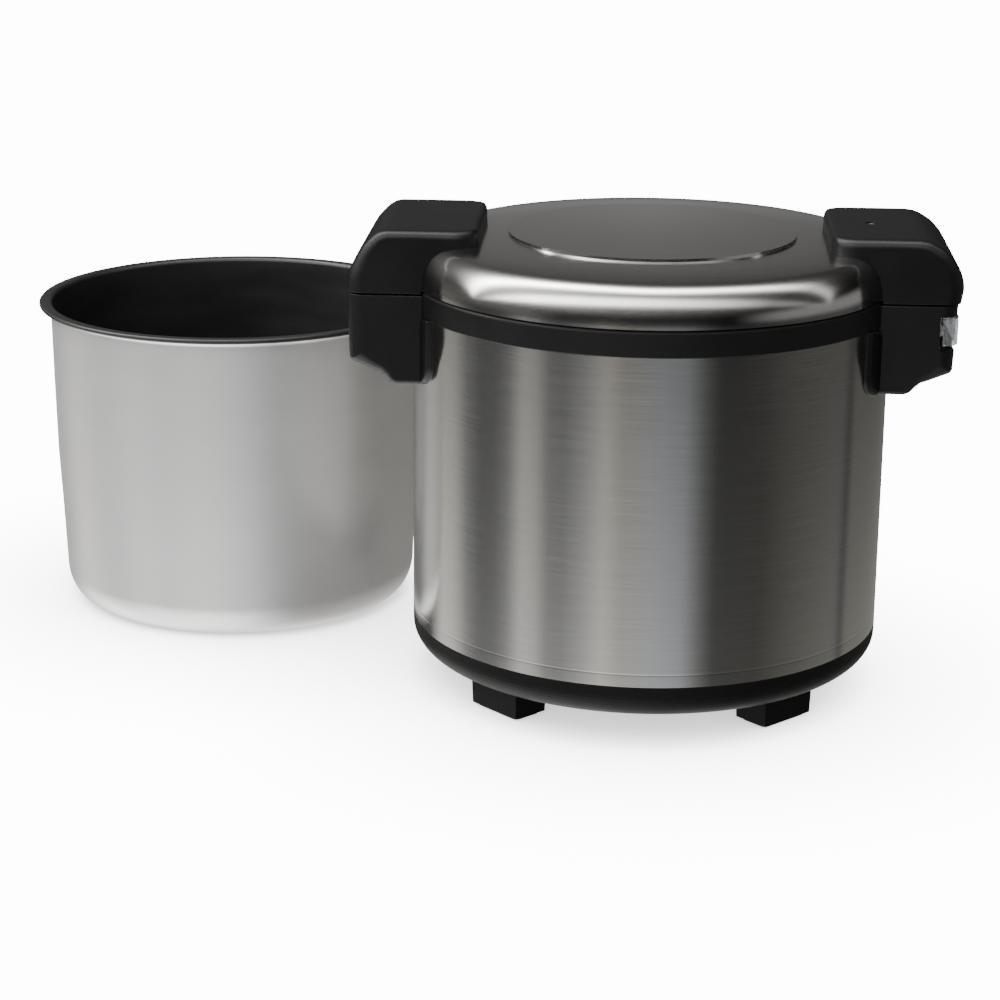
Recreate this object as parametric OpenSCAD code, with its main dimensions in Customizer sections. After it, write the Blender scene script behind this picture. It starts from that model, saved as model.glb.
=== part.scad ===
// Drum-shaped commercial rice cooker: steel body on four feet, hinged steel lid with two
// black handle blocks, a guarded power switch, a sprung thermostat and a lift-out pot that
// stands beside it. Millimetres, +Z up, origin on the floor under the axis of the drum.

/* [Body] */
// Outer radius of the steel drum
body_r = 180; // [178:1:184]
// Height of the flat underside of the base above the floor
base_z = 22.4; // [20:0.2:24]
// Bottom edge of the steel drum
shell_z0 = 50.4; // [50:0.2:52]
// Top edge of the steel drum
shell_z1 = 294.3; // [292:0.1:296]
// Top of the black rim ring
ring_z1 = 313.7; // [313:0.1:313.8]
// Inner radius of the heated well
well_r = 156.5; // [156:0.1:157]

/* [Pot] */
// Outer radius of the pot just under its lip
pot_r = 153; // [150:0.5:154]
// Height of the pot
pot_h = 253; // [240:1:254]
// Outer radius of the flared lip
lip_r = 162.3; // [160:0.1:162.5]
// Place of the pot beside the drum, along X
pot_x = -346; // [-380:1:-344]
// Place of the pot beside the drum, along Y
pot_y = 178; // [176:1:200]

/* [Lid and handles] */
// Radius of the lid's lower edge
lid_r = 181.5; // [181:0.1:182]
// Height of the lid's lower edge
lid_z0 = 314.4; // [314.3:0.1:314.6]
// Width of each handle block
block_w = 140; // [120:2:140]
// Height of the flat top of the handle blocks
handle_z1 = 358; // [356:0.5:360]
// Distance of each handle tip from the axis of the drum
tip_x = 127.5; // [120:0.5:132]

/* [Fits] */
// Radial running clearance of pins in their bores
run = 0.05; // [0.02:0.01:0.09]
// Gap between parts that pass each other
gap = 0.3; // [0.3:0.05:0.5]

/* [Hidden] */
$fn = 96;
far = 600;

// Base and feet
pan_wall = 2.8;
pan_side_h = 7.2;
pan_curve = [26.7, shell_z0 - pan_side_h - base_z];
pan_floor_r = body_r - pan_curve[0];
floor_z = base_z + pan_wall;
foot_size = [30, 50];
foot_mid = 141;
foot_draft = 0.6;
pad_h = 1.8;
pad_inset = 3;
screw_ring_r = 112;

// Drum, ring and well
sheet = 0.8;
seat_z = 304;
liner_r1 = well_r + sheet;
liner_z0 = 47;
plate_z1 = 56;
plate_z0 = 48;
plate_r = 140;
post_r = 4;
post_ring_r = 121;
shield_z = 34;
shield_r = 150;
element_r = 95;
element_wire_r = 4.5;
element_z = plate_z0 - element_wire_r;
element_gap_deg = 30;
element_pin_r = 2.5;

// Thermostat
sensor_hole_r = 21;
cap_r = 18;
cap_z1 = 62;
stem_r = 3;
cup_z0 = 36;
cup_r = 19.6;
cup_wall = 1.2;
spring_r = 10.5;
spring_wire_r = 0.9;
spring_turns = 5;

// Cord gland
gland_deg = 120;
gland_z = 78;
gland_bore_r = 4.5;
gland_r = 9;

// Lid hinge
hinge_x = -219;
hinge_z = 319;
hinge_r = 2;
seam_lower_z = 312.6;
seam_upper_z = 314.2;
arm_y = 40;
arm_t = 3;
boss_r = 4.4;

// Handle blocks
block_corner = 12;
tip_corner = 16;
plan_reach = 224;
flange_half = 90;
rear_flange_half = 83;
flange_z0 = 243.5;
flange_t = 6;
flange_corner = 16;
seat_x = 187.2;
seat_mid_z = 281;
seat_size = [84, 34];
bracket_t = 3;

// Switch recess, rocker and guard
recess_x = 211;
recess_z = [276, 302.5];
recess_wall = 2.5;
switch_mid = [-28, 290.5];
rocker_len = 32;
rocker_r = 9.9;
rocker_x = 209;
rocker_tilt = 12;
rocker_pin_r = 1.5;
lamp_y = 22;
lamp_r = 6;
guard_x = 225.2;
guard_t = 1.6;
guard_z = [281.3, 301.3];
guard_pivot = [221.2, 279.2];
guard_pin_r = 1.25;
guard_knuckle_r = 2.4;
guard_half = 48.5;
lug_half = guard_half + 2;
lug_t = 3;
wing_gap = 2.2;

// Lid
crown_z = 344.3;
crown_r = 162.5;
disc_r = 108.1;
disc_z = 347.3;
disc_rise = 2;
lid_t = 0.9;
screw_x = 163;
screw_bore_r = 4.75;
screw_seat_z = 354;
screw_end_z = 337;
nut_z = 341;
nut_h = 3;

// ---------- outlines and helpers ----------

// Points of an elliptical arc, centre c, half axes a, from angle t0 to t1
function arc(c, a, t0, t1, n = 12) =
    [for (i = [0 : n]) let (t = t0 + (t1 - t0) * i / n) [c[0] + a[0] * cos(t), c[1] + a[1] * sin(t)]];

// The same outline with its points in the opposite order
function backwards(p) = [for (i = [len(p) - 1 : -1 : 0]) p[i]];

// Outer line of the lid from its lower edge to its centre, moved inwards by t
function lid_line(t) = concat(
    [[lid_r - t, lid_z0]],
    arc([crown_r, 316], [lid_r - crown_r - t, crown_z - 316 - t], 0, 82, 14),
    [[150, 345.6 - t], [130, 346.7 - t], [disc_r, disc_z - t],
     [disc_r - 1.2, disc_z + disc_rise - t], [60, disc_z + disc_rise + 0.8 - t],
     [0, disc_z + disc_rise + 1 - t]]);

// Outer face of the handle blocks, from the seam up to the flat top
rear_outer = [[222, seam_upper_z], [223.6, 315.4], [224, 317], [223.2, 323], [220.6, 331],
              [216.6, 339], [211.4, 346.8], [204.6, 353.6], [199.5, 356.8], [194, handle_z1]];
front_outer = [[226, seam_upper_z], [227.4, 318], [227.9, 322], [227.4, 327], [225.4, 333.5],
               [222, 340], [218.2, 345], [213.4, 349.8], [207, 354], [201, 356.8],
               [194, handle_z1]];
// Outer and lower faces of the housings under the seam
housing_outer = [[224.4, seam_lower_z], [224, 300], [223.2, 276], [222.6, 264.5], [221.2, 260.4],
                 [217, 257.2], [204.5, 253.4], [199.5, 251.9], [195.2, 248.8], [191.8, 245.2],
                 [187.6, 243.5]];

// Rectangle with round corners, centred on the origin
module round_rect(size, r) {
    square([size[0] - 2 * r, size[1]], center = true);
    square([size[0], size[1] - 2 * r], center = true);
    for (x = [-1, 1], y = [-1, 1])
        translate([x * (size[0] / 2 - r), y * (size[1] / 2 - r)]) circle(r);
}

// Extrudes an outline drawn in X and Z along Y, centred on the XZ plane
module along_y(width) {
    rotate([90, 0, 0]) linear_extrude(width, center = true) children();
}

// Round bar along Y through a point of the XZ plane
module bar_y(x, z, r, y0, y1) {
    translate([x, y0, z]) rotate([-90, 0, 0]) cylinder(r = r, h = y1 - y0);
}

// Solid of revolution under a line of points that ends on the axis
module turned(points) {
    rotate_extrude() polygon(points);
}

// Four copies on the diagonals
module on_diagonals() {
    for (a = [45 : 90 : 315]) rotate(a) children();
}

// Round-sided tube swept along a list of points
module lead(path, r, sides = 8) {
    n = len(path);
    rings = [for (i = [0 : n - 1])
        let (d = path[min(i + 1, n - 1)] - path[max(i - 1, 0)],
             t = d / norm(d),
             s = abs(t[2]) < 0.9 ? cross(t, [0, 0, 1]) : cross(t, [0, 1, 0]),
             u = s / norm(s),
             v = cross(t, u))
        [for (k = [0 : sides - 1]) path[i] + r * (cos(k * 360 / sides) * u
                                                + sin(k * 360 / sides) * v)]];
    walls = [for (i = [0 : n - 2], k = [0 : sides - 1])
        let (k2 = (k + 1) % sides)
        [i * sides + k, i * sides + k2, (i + 1) * sides + k2, (i + 1) * sides + k]];
    start = [for (k = [sides - 1 : -1 : 0]) k];
    end = [for (k = [0 : sides - 1]) (n - 1) * sides + k];
    polyhedron([for (ring = rings) for (p = ring) p], concat([start], walls, [end]));
}

// Pan-head screw pointing down, its head resting on z = 0
module screw(head_r, shank_r, length, head_h = 2.6) {
    difference() {
        cylinder(r = head_r, h = head_h, $fn = 32);
        for (a = [0, 90]) rotate(a)
            translate([-head_r * 0.6, -0.5, head_h - 1.2]) cube([head_r * 1.2, 1, 2]);
    }
    translate([0, 0, -length]) cylinder(r = shank_r, h = length, $fn = 32);
}

// ---------- base ----------

module pan_solid() {
    turned(concat([[0, base_z]],
        arc([pan_floor_r, base_z + pan_curve[1]], pan_curve, -90, 0),
        [[body_r, shell_z0], [0, shell_z0]]));
}

module base_pan() {
    inner = [pan_curve[0] - pan_wall, pan_curve[1] - pan_wall];
    color("#1b1b1d") difference() {
        pan_solid();
        turned(concat([[0, floor_z]],
            arc([pan_floor_r, base_z + pan_curve[1]], inner, -90, 0),
            [[body_r - pan_wall, shell_z0 + 1], [0, shell_z0 + 1]]));
        for (a = [0 : 22.5 : 359], r = [62, 86]) rotate(a) translate([r, 0, base_z + 1])
            linear_extrude(far, center = true) {
                square([12, 4], center = true);
                for (x = [-6, 6]) translate([x, 0]) circle(2, $fn = 24);
            }
        for (a = [0 : 90 : 270]) rotate(a) translate([screw_ring_r, 0, 0])
            cylinder(r = 2.2, h = far, $fn = 32);
    }
}

module feet() {
    half = foot_size / 2;
    top = base_z + 2;
    color("#161617") on_diagonals() translate([foot_mid, 0, 0]) difference() {
        intersection() {
            along_y(far) polygon([[-half[0], pad_h], [half[0] - foot_draft, pad_h],
                                  [half[0], top], [-half[0] - foot_draft, top]]);
            rotate(90) along_y(far) polygon([[-half[1] + foot_draft, pad_h],
                [half[1] - foot_draft, pad_h], [half[1], top], [-half[1], top]]);
        }
        translate([-foot_mid, 0, 0]) pan_solid();
    }
}

module foot_pads() {
    color("#0e0e0f") on_diagonals() translate([foot_mid, 0, 0])
        linear_extrude(pad_h) round_rect(foot_size - [2 * pad_inset, 2 * pad_inset], 4);
}

module base_screws() {
    color("silver") for (a = [0 : 90 : 270]) rotate(a)
        translate([screw_ring_r, 0, base_z]) mirror([0, 0, 1]) screw(4, 2.1, 10);
}

// ---------- drum ----------

module gland_frame() {
    rotate(gland_deg) translate([0, 0, gland_z]) rotate([0, 90, 0]) children();
}

// Screw axes of one housing, on the +X side (1) or the -X side (-1), local Z outwards
module housing_screw_places(side) {
    for (y = [-30, 30], dz = [-9, 9])
        rotate(side > 0 ? 0 : 180) translate([0, y, seat_mid_z + dz]) rotate([0, 90, 0])
            children();
}

module steel_shell() {
    color("#b9b9b6") difference() {
        turned([[body_r - sheet, shell_z0], [body_r, shell_z0], [body_r, shell_z1],
                [body_r - sheet, shell_z1]]);
        gland_frame() cylinder(r = gland_r + 0.2, h = far, $fn = 48);
        for (side = [-1, 1]) housing_screw_places(side) cylinder(r = 2.2, h = far, $fn = 32);
    }
}

module top_ring() {
    color("#19191b") turned(concat(
        [[liner_r1 + gap, seat_z], [liner_r1 + gap, 297], [liner_r1 + 3, 297],
         [liner_r1 + 4.2, 300.5], [174, 300.5], [176, 290], [body_r - sheet - 0.2, 290],
         [body_r - sheet - 0.2, shell_z1], [body_r, shell_z1], [body_r + 1.5, shell_z1 + 2.2]],
        arc([body_r - 1, ring_z1 - 2.5], [2.5, 2.5], 0, 90, 6),
        [[169.5, ring_z1], [167.6, 312.8], [166.4, 310.6], [165.2, seat_z + 2],
         [165.2, seat_z]]));
}

module well_liner() {
    color("#c6c7c4") turned([[143, liner_z0], [liner_r1, liner_z0], [liner_r1, seat_z],
        [164.8, seat_z], [164.8, seat_z + sheet], [well_r, seat_z + sheet],
        [well_r, liner_z0 + sheet], [143, liner_z0 + sheet]]);
}

module body_insulation() {
    inner = liner_r1 + 2.5;
    color("#e9e4d2") difference() {
        turned([[inner, 54], [body_r - 4, 54], [body_r - 4, 286], [inner, 286]]);
        for (a = [0, gland_deg]) rotate(a) translate([inner - 5, -14, 0]) cube([40, 28, far]);
    }
}

// ---------- heater ----------

module heater_plate() {
    color("#a9abad") difference() {
        turned(concat([[sensor_hole_r, plate_z0], [plate_r - 4, plate_z0]],
            [[plate_r, plate_z0 + 2]], arc([plate_r - 2, plate_z1 - 2], [2, 2], 0, 90, 6),
            [[sensor_hole_r + 1, plate_z1], [sensor_hole_r, plate_z1 - 1]]));
        for (a = [60 : 120 : 300]) rotate(a) translate([post_ring_r, 0, 0])
            cylinder(r = 2.1, h = plate_z0 + 5, $fn = 32);
    }
}

module heating_element() {
    color("#6f706f") {
        rotate(element_gap_deg / 2) rotate_extrude(angle = 360 - element_gap_deg)
            translate([element_r, element_z]) circle(element_wire_r, $fn = 32);
        for (s = [-1, 1]) rotate(s * (element_gap_deg / 2 + 2)) translate([element_r, 0, 28])
            cylinder(r = element_pin_r, h = element_z - 28, $fn = 32);
    }
}

module heat_shield() {
    color("#b4b6b7") difference() {
        turned([[30, shield_z], [shield_r, shield_z], [shield_r, 45],
                [shield_r - sheet, 45], [shield_r - sheet, shield_z + sheet],
                [30, shield_z + sheet]]);
        for (s = [-1, 1]) rotate(s * (element_gap_deg / 2 + 2))
            translate([element_r, 0, 0]) cylinder(r = 7, h = far, $fn = 32);
        for (a = [60 : 120 : 300]) rotate(a) translate([post_ring_r, 0, 0])
            cylinder(r = 2.1, h = far, $fn = 32);
    }
}

module plate_standoffs() {
    color("#9c9d9c") for (a = [60 : 120 : 300]) rotate(a) translate([post_ring_r, 0, 0]) {
        translate([0, 0, floor_z]) cylinder(r = post_r, h = shield_z - floor_z, $fn = 32);
        translate([0, 0, shield_z + sheet])
            cylinder(r = post_r, h = plate_z0 - shield_z - sheet, $fn = 32);
    }
}

module sensor_housing() {
    color("#c9c9c7") difference() {
        union() {
            translate([0, 0, cup_z0]) cylinder(r = cup_r, h = plate_z0 - cup_z0);
            translate([0, 0, plate_z0 - 1.6]) cylinder(r = 28, h = 1.6);
        }
        translate([0, 0, cup_z0 + cup_wall]) cylinder(r = cup_r - cup_wall, h = far);
        cylinder(r = stem_r + run, h = far, $fn = 48);
    }
}

module sensor_plunger() {
    color("#d4d4d2") {
        turned([[0, cap_z1 - 4], [cap_r - 2, cap_z1 - 4], [cap_r - 2, cap_z1 - 10],
                [cap_r - 0.8, cap_z1 - 10], [cap_r, cap_z1 - 4], [cap_r, cap_z1 - 1],
                [cap_r - 1, cap_z1], [0, cap_z1]]);
        translate([0, 0, 33.5]) cylinder(r = stem_r, h = cap_z1 - 4 - 33.5, $fn = 48);
    }
}

module sensor_spring() {
    z0 = cup_z0 + cup_wall + spring_wire_r;
    z1 = cap_z1 - 4 - spring_wire_r;
    steps = spring_turns * 18;
    color("#8d8f90") lead([for (i = [0 : steps])
        [spring_r * cos(i * 20), spring_r * sin(i * 20), z0 + (z1 - z0) * i / steps]],
        spring_wire_r, 6);
}

module thermal_fuse() {
    color("#d8d2c0") {
        bar_y(-62, plate_z0 - 3.2, 3.2, -9, 9);
        for (y = [-7, 5]) translate([-66.5, y, plate_z0 - 1]) cube([9, 2, 1]);
    }
}

module terminal_block() {
    color("#e6e2d6") translate([-128, 22, floor_z]) difference() {
        cube([18, 42, 7.4]);
        for (y = [7, 21, 35]) translate([9, y, 3]) cylinder(r = 2.6, h = far, $fn = 32);
    }
}

module wire_harness() {
    color("#b33a2e") {
        lead([[-80.8, 139.9, 74], [-81, 140.3, 66], [-81.9, 141.9, 54], [-86.2, 137.9, 44],
              [-88.4, 131, 36], [-90, 120.4, 30.5], [-122, 92, 30], [-140, 62, 29.6],
              [-138, 46, 29.2], [-128.2, 43, 29]], 2);
        lead([[-109.8, 29, 29], [-90, 20, 29.5], [-40, 30, 29.5], [20, 40, 29.5],
              [66, 37, 29.5], [80, 30, 29.8], [88, 27.8, 30]], 1.6);
        lead([[-109.8, 57, 29], [-80, 70, 29.5], [0, 88, 29.5], [80, 78, 29.5],
              [130, 50, 29.8], [152, 20, 33], [160, 4, 44], [166, 0, 60], [168, 0, 160],
              [168, 0, 262], [172, 0, 280]], 2);
    }
}

module cord_gland() {
    color("#151516") gland_frame() difference() {
        union() {
            translate([0, 0, body_r - 14]) cylinder(r = gland_r, h = 14 + 6, $fn = 48);
            translate([0, 0, body_r + 1]) cylinder(r = gland_r + 4, h = 3, $fn = 48);
            translate([0, 0, body_r + 6]) cylinder(r1 = gland_r, r2 = gland_r - 2, h = 3,
                                                   $fn = 48);
        }
        cylinder(r = gland_bore_r, h = far, $fn = 48);
    }
}

// ---------- housings under the seam ----------

// Plan of a block whose outer face is at x = plan_reach: round outer corners only
module block_plan(grow = 0) {
    intersection() {
        translate([plan_reach - 150 + grow, 0])
            round_rect([300, block_w + 2 * grow], block_corner + grow);
        translate([90, -far / 2]) square(far);
    }
}

module housing_solid(half = flange_half) {
    intersection() {
        along_y(block_w) polygon(concat(housing_outer, [[150, flange_z0], [150, seam_lower_z]]));
        linear_extrude(far) translate([0.4, 0]) block_plan();
    }
    // Saddle flange that hugs the drum
    intersection() {
        difference() {
            cylinder(r = body_r + flange_t, h = shell_z1);
            cylinder(r = body_r - 20, h = far);
        }
        translate([100, 0, flange_z0 + 40]) rotate([90, 0, 90])
            linear_extrude(100) round_rect([2 * half, 80], flange_corner);
    }
}

module housing_cavity() {
    difference() {
        intersection() {
            along_y(block_w - 7) polygon([[196, 258], [219.4, 262], [220, 309.4],
                                          [150, 309.4], [150, 247], [188, 247]]);
            linear_extrude(far) translate([-0.5, 0]) block_plan(-3.5);
        }
        cylinder(r = body_r + flange_t, h = far, $fn = 192);
        translate([0, -seat_size[0] / 2, seat_mid_z - seat_size[1] / 2])
            cube([seat_x, seat_size[0], seat_size[1]]);
    }
}

module housing_blank(half = flange_half) {
    difference() {
        housing_solid(half);
        housing_cavity();
        cylinder(r = body_r + 0.05, h = shell_z1 + 0.1, $fn = 192);
        translate([0, 0, shell_z1]) cylinder(r = body_r + 1.6, h = far, $fn = 192);
        housing_screw_places(1) cylinder(r = 2.2, h = far, $fn = 32);
    }
}

module rear_housing() {
    color("#1c1c1e") difference() {
        rotate(180) housing_blank(rear_flange_half);
        for (s = [-1, 1]) translate([-220.6, s * arm_y - arm_t / 2 - 0.4, 305])
            cube([16, arm_t + 0.8, far]);
    }
}

module hinge_bracket() {
    color("#a5a7a8") {
        for (s = [-1, 1]) translate([0, s * arm_y, 0]) difference() {
            union() {
                bar_y(hinge_x, hinge_z, boss_r, -arm_t / 2, arm_t / 2);
                along_y(arm_t) polygon([[-190.2, 265], [-190.2, 300], [-201, 306],
                    [-206, 311], [-212, 319], [hinge_x, hinge_z], [-219.8, 313.6],
                    [-218.6, 306], [-212, 290], [-203, 266]]);
            }
            bar_y(hinge_x, hinge_z, hinge_r, -far, far);
        }
        difference() {
            translate([-seat_x - bracket_t, -seat_size[0] / 2, seat_mid_z - seat_size[1] / 2])
                cube([bracket_t, seat_size[0], seat_size[1]]);
            housing_screw_places(-1) cylinder(r = 2.2, h = far, $fn = 32);
        }
    }
}

module hinge_pin() {
    color("#d0d1d1") bar_y(hinge_x, hinge_z, hinge_r, -52, 52);
}

// Block of space around the switch recess, grown by t
module recess_space(t) {
    translate([recess_x - t, -far / 2, recess_z[0] - t])
        cube([far, far, recess_z[1] - recess_z[0] + 2 * t]);
}

module control_housing() {
    color("#1c1c1e") difference() {
        union() {
            difference() {
                union() {
                    housing_blank();
                    intersection() {
                        housing_solid();
                        recess_space(recess_wall);
                    }
                }
                recess_space(0);
            }
            for (s = [-1, 1])
                translate([recess_x - 1, s * lug_half - lug_t / 2, recess_z[0] - 0.5])
                    cube([12.4, lug_t, 5]);
        }
        translate([recess_x - 10, switch_mid[0] - rocker_len / 2 - 2.4, switch_mid[1] - 11])
            cube([20, rocker_len + 4.8, 22]);
        translate([recess_x - 10, lamp_y, switch_mid[1]]) rotate([0, 90, 0])
            cylinder(r = lamp_r - 1, h = 20, $fn = 48);
        bar_y(guard_pivot[0], guard_pivot[1], guard_pin_r, -lug_half - 2, lug_half + 2);
    }
}

module housing_screws() {
    color("silver") {
        housing_screw_places(1) translate([0, 0, seat_x]) screw(3.8, 2, 9.5);
        housing_screw_places(-1) translate([0, 0, seat_x + bracket_t]) screw(3.8, 2, 12.5);
    }
}

// ---------- switch ----------

module switch_bezel() {
    size = [rocker_len + 7.6, 23.2];
    color("#0f0f10") translate([recess_x, switch_mid[0], switch_mid[1]]) rotate([90, 0, 90])
        linear_extrude(1.8) difference() {
            round_rect(size, 2);
            square([rocker_len + 0.8, 2 * rocker_r + 0.5], center = true);
        }
}

module switch_body() {
    color("#202022") difference() {
        translate([191, switch_mid[0] - rocker_len / 2 - 2.4, switch_mid[1] - 11])
            cube([recess_x - 191, rocker_len + 4.8, 22]);
        bar_y(rocker_x, switch_mid[1], rocker_r + 0.25,
              switch_mid[0] - rocker_len / 2 - 0.4, switch_mid[0] + rocker_len / 2 + 0.4);
        bar_y(rocker_x, switch_mid[1], rocker_pin_r + run,
              switch_mid[0] - rocker_len / 2 - 1.8, switch_mid[0] + rocker_len / 2 + 1.8);
    }
}

module rocker_switch() {
    color("#e9e9e6") {
        intersection() {
            bar_y(rocker_x, switch_mid[1], rocker_r, switch_mid[0] - rocker_len / 2,
                  switch_mid[0] + rocker_len / 2);
            translate([rocker_x, switch_mid[0], switch_mid[1]]) rotate([0, -rocker_tilt, 0])
                along_y(far) polygon([[-2.6, -20], [7.4, -20], [7, -7], [5.2, 0], [7, 7],
                                      [7.4, 20], [-2.6, 20]]);
        }
        bar_y(rocker_x, switch_mid[1], rocker_pin_r, switch_mid[0] - rocker_len / 2 - 1.6,
              switch_mid[0] + rocker_len / 2 + 1.6);
    }
}

module pilot_lamp() {
    color("#d5562a") translate([recess_x, lamp_y, switch_mid[1]]) rotate([0, 90, 0]) {
        translate([0, 0, -8]) cylinder(r = lamp_r - 1.1, h = 8.2, $fn = 48);
        rotate_extrude($fn = 48) polygon(concat([[0, 0], [lamp_r, 0]],
            arc([0, 1], [lamp_r, 3], 0, 90, 8)));
    }
}

module guard_pin() {
    color("silver")
        bar_y(guard_pivot[0], guard_pivot[1], guard_pin_r, -lug_half - 2, lug_half + 2);
}

module switch_guard() {
    height = guard_z[1] - guard_z[0];
    color([0.85, 0.9, 0.9, 0.4]) difference() {
        union() {
            translate([0, 0, guard_z[0]]) linear_extrude(height) intersection() {
                difference() {
                    translate([guard_x - plan_reach - 0.4, 0]) block_plan(0.4);
                    translate([guard_x - plan_reach - 0.4, 0]) block_plan(0.4 - guard_t);
                }
                translate([recess_x + wing_gap, -far / 2]) square(far);
            }
            translate([guard_pivot[0] - 2, -guard_half, guard_z[0]])
                cube([guard_x - guard_t - guard_pivot[0] + 2.4, 2 * guard_half, guard_t]);
            translate([guard_pivot[0] - 1.6, -guard_half, guard_pivot[1]])
                cube([3.2, 2 * guard_half, guard_z[0] - guard_pivot[1] + 0.5]);
            bar_y(guard_pivot[0], guard_pivot[1], guard_knuckle_r, -guard_half, guard_half);
        }
        bar_y(guard_pivot[0], guard_pivot[1], guard_pin_r + run, -lug_half, lug_half);
    }
}

// ---------- lid ----------

module lid_solid(t) {
    turned(concat([[0, lid_z0]], lid_line(t)));
}

module lid_shell() {
    color("#bdbdba") difference() {
        turned(concat(lid_line(0), backwards(lid_line(lid_t))));
        for (x = [screw_x, -screw_x]) translate([x, 0, 0]) cylinder(r = 2.2, h = far, $fn = 32);
    }
}

module lid_rim() {
    color("#161617") turned([[159.5, 315.2], [180.2, 315.2], [180.2, 319], [176, 319],
                             [174.5, 317.4], [159.5, 317.4]]);
}

module lid_inner_plate() {
    color("#c3c5c6") turned([[0, 323], [120, 322.4], [138, 320], [150, 311.4], [155.8, 311],
        [156.4, 314.6], [162, 314.6], [162, 315.2], [155.6, 315.2], [155.2, 311.9],
        [150.3, 312.2], [138.4, 320.8], [120, 323.2], [0, 323.8]]);
}

module lid_insulation() {
    color("#e9e4d2") turned([[0, 325], [140, 324.4], [156, 319.4], [168, 320], [168, 330],
                             [158, 332.6], [0, 333]]);
}

module lid_gasket() {
    color("#8d8d8a") turned([[156.8, 314.4], [157.4, 309.4], [159, 307.6], [161.4, 307.6],
                             [163.4, 309.6], [163.6, 311.4], [161.6, 311.2], [160.6, 309.6],
                             [159.4, 310.2], [159.2, 314.4]]);
}

// Handle block above the seam, drawn on the +X side, its outer face at x = reach
module handle_blank(outer, cavity, reach) {
    difference() {
        intersection() {
            along_y(block_w) polygon(concat(outer, [[tip_x, handle_z1], [tip_x, 330],
                                                    [176, seam_upper_z]]));
            linear_extrude(far) intersection() {
                translate([reach - plan_reach, 0]) block_plan();
                translate([tip_x + 75, 0]) round_rect([150, block_w], tip_corner);
            }
        }
        difference() {
            along_y(block_w - 7) polygon(cavity);
            translate([screw_x, 0, 0]) cylinder(r = 8, h = far, $fn = 48);
        }
        lid_solid(-0.1);
        translate([0, 0, 300]) cylinder(r = lid_r - 4, h = 20);
    }
}

module rear_handle() {
    cavity = [[137, 300], [137, 354.4], [194, 354.4], [201, 350], [206, 341], [208, 330],
              [208, 300]];
    color("#1e1e20") difference() {
        rotate(180) handle_blank(rear_outer, cavity, 224);
        for (s = [-1, 1]) translate([-far - 205, s * arm_y - arm_t / 2 - 0.5, 300])
            cube([far, arm_t + 1, 325.4 - 300]);
        bar_y(hinge_x, hinge_z, hinge_r + run, -53, 53);
        translate([-screw_x, 0, 0]) cylinder(r = 2.1, h = 354.6, $fn = 32);
    }
}

module front_handle() {
    cavity = [[137, 300], [137, 354.4], [194, 354.4], [206, 349.6], [216, 340], [222, 330],
              [223, 322], [221, 300]];
    color("#1e1e20") difference() {
        handle_blank(front_outer, cavity, 228);
        translate([screw_x, 0, 0]) cylinder(r = 2.2, h = far, $fn = 32);
        translate([screw_x, 0, screw_seat_z]) cylinder(r = screw_bore_r, h = far, $fn = 48);
    }
}

module handle_screws() {
    color("#d9c48a") {
        translate([screw_x, 0, screw_seat_z]) screw(4.1, 2, screw_seat_z - screw_end_z);
        translate([-screw_x, 0, nut_z]) mirror([0, 0, 1]) screw(4.1, 2, 12.5);
    }
}

module handle_nuts() {
    color("silver") translate([screw_x, 0, nut_z - nut_h]) linear_extrude(nut_h) difference() {
        circle(4.6, $fn = 6);
        circle(2, $fn = 32);
    }
}

// ---------- pot ----------

// Outer line of the pot from the middle of its bottom to the underside of the lip
function pot_line(t) = concat(
    [[0, t]],
    arc([pot_r - 25.7, 28], [20 - t, 28 - t], -90, 0, 12),
    [[pot_r - 1.5 - t, 126], [pot_r - t, pot_h - 9]]);

module inner_pot() {
    wall = 2;
    lip = arc([lip_r - 2, pot_h - 2], [2, 2], -90, 90, 8);
    color("#c9cac8") translate([pot_x, pot_y, 0]) turned(concat(
        pot_line(0), [[pot_r + 2.4, pot_h - 4.6]], lip,
        [[pot_r + 2, pot_h], [pot_r - 0.6, pot_h - 1.6], [pot_r - 1.9, pot_h - 5]],
        backwards(pot_line(wall))));
}

base_pan();
feet();
foot_pads();
base_screws();
steel_shell();
top_ring();
well_liner();
body_insulation();
heater_plate();
heating_element();
heat_shield();
plate_standoffs();
sensor_housing();
sensor_plunger();
sensor_spring();
thermal_fuse();
terminal_block();
wire_harness();
cord_gland();
rear_housing();
hinge_bracket();
hinge_pin();
control_housing();
housing_screws();
switch_bezel();
switch_body();
rocker_switch();
pilot_lamp();
guard_pin();
switch_guard();
lid_shell();
lid_rim();
lid_inner_plate();
lid_insulation();
lid_gasket();
rear_handle();
front_handle();
handle_screws();
handle_nuts();
inner_pot();
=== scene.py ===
import math

import bmesh
import bpy
from mathutils import Matrix, Vector


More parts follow.
